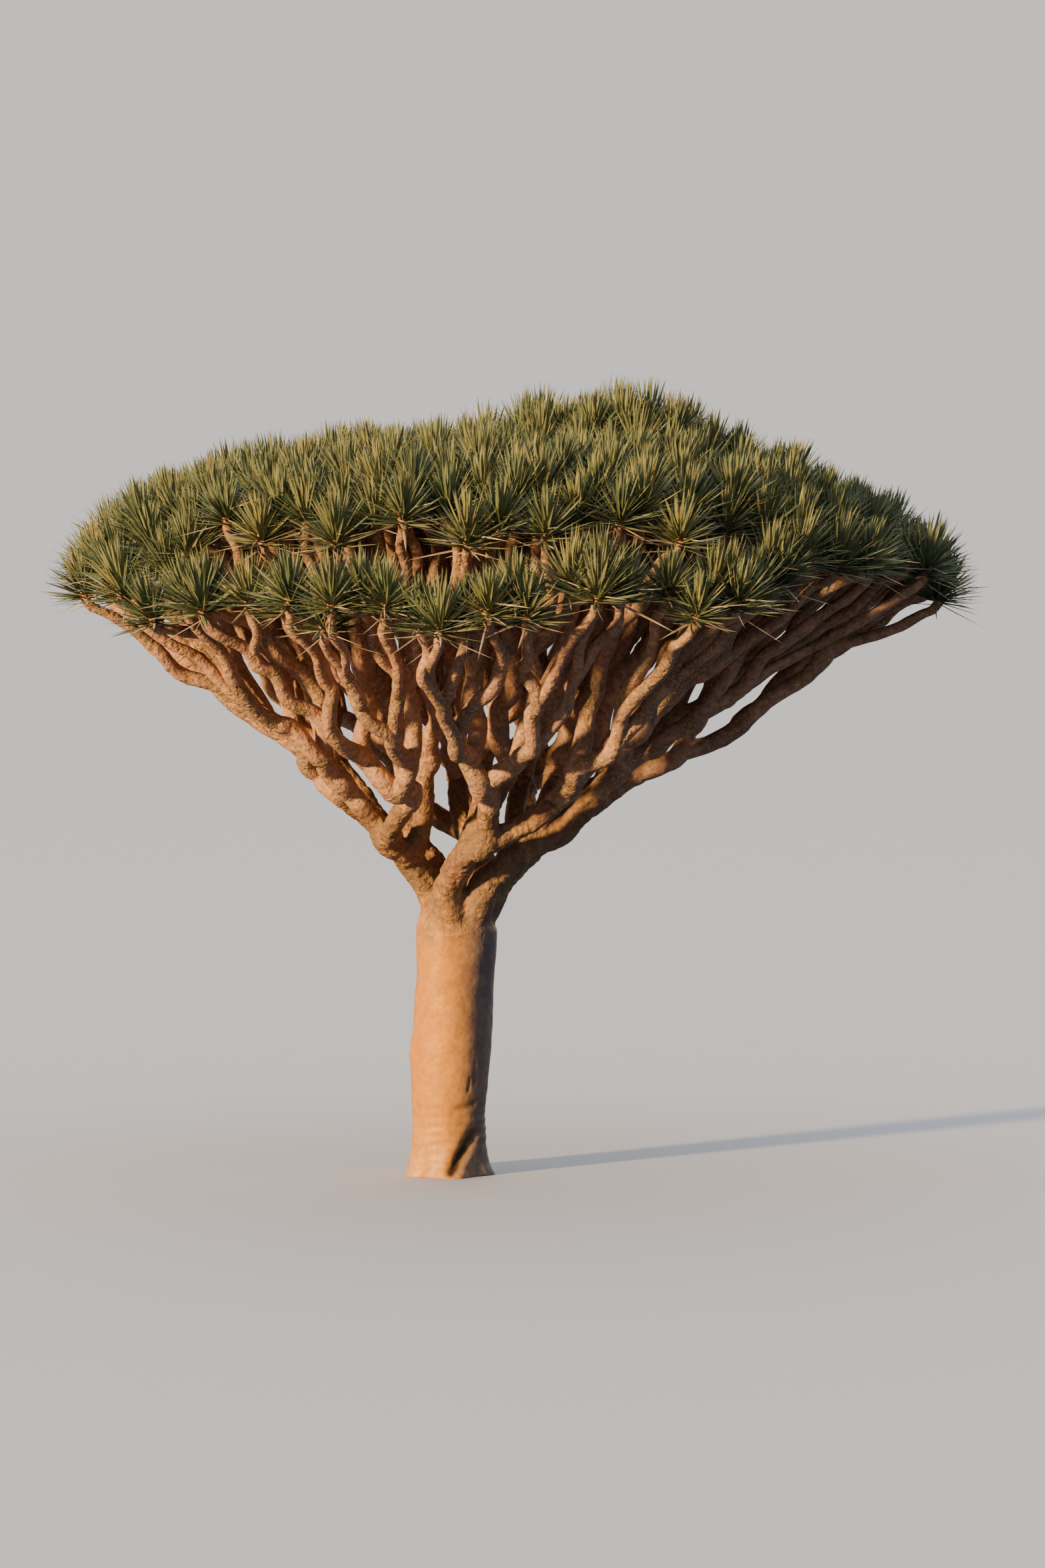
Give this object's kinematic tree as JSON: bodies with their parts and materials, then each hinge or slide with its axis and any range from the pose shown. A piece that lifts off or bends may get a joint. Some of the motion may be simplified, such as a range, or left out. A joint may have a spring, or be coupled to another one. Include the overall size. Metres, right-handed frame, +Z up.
{
  "type": "dragon blood tree",
  "caption": "Dragon blood tree with a smooth thick trunk, boughs that fork again and again into an upturned cone, and a broad dome of stiff leaf rosettes.",
  "frame": {"origin": "middle of the flat cut under the trunk, at ground level", "axes": "+Z up; +Y away from the picture's viewpoint; +X to the right as the picture sees the tree, the side that the trunk leans to and the crown reaches further on"},
  "size_m": [7.3246, 6.5933, 6.0979],
  "materials": {
    "bark": "smooth cream-tan bark on the trunk, rougher orange-brown bark with pale patches on the boughs and twigs",
    "foliage": "stiff waxy sword-shaped leaves, olive green, with some straw-coloured dead ones"
  },
  "bodies": {
    "root": {"trunk": "bark", "bough_right": "bark", "bough_back_right": "bark", "bough_back_left": "bark", "bough_left": "bark", "bough_front_left": "bark", "bough_front_right": "bark", "limb_right_2": "bark", "limb_right_inner": "bark", "limb_back_right_2": "bark", "limb_back_right_inner": "bark", "limb_back_left_2": "bark", "limb_back_left_inner": "bark", "limb_left_2": "bark", "limb_left_inner": "bark", "limb_front_left_2": "bark", "limb_front_left_inner": "bark", "limb_front_right_2": "bark", "limb_front_right_inner": "bark", "limb_top": "bark", "foliage_right_1": "foliage", "foliage_right_2": "foliage", "foliage_right_inner": "foliage", "foliage_back_right_1": "foliage", "foliage_back_right_2": "foliage", "foliage_back_right_inner": "foliage", "foliage_back_left_1": "foliage", "foliage_back_left_2": "foliage", "foliage_back_left_inner": "foliage", "foliage_left_1": "foliage", "foliage_left_2": "foliage", "foliage_left_inner": "foliage", "foliage_front_left_1": "foliage", "foliage_front_left_2": "foliage", "foliage_front_left_inner": "foliage", "foliage_front_right_1": "foliage", "foliage_front_right_2": "foliage", "foliage_front_right_inner": "foliage", "foliage_top": "foliage"}
  },
  "joints": []
}
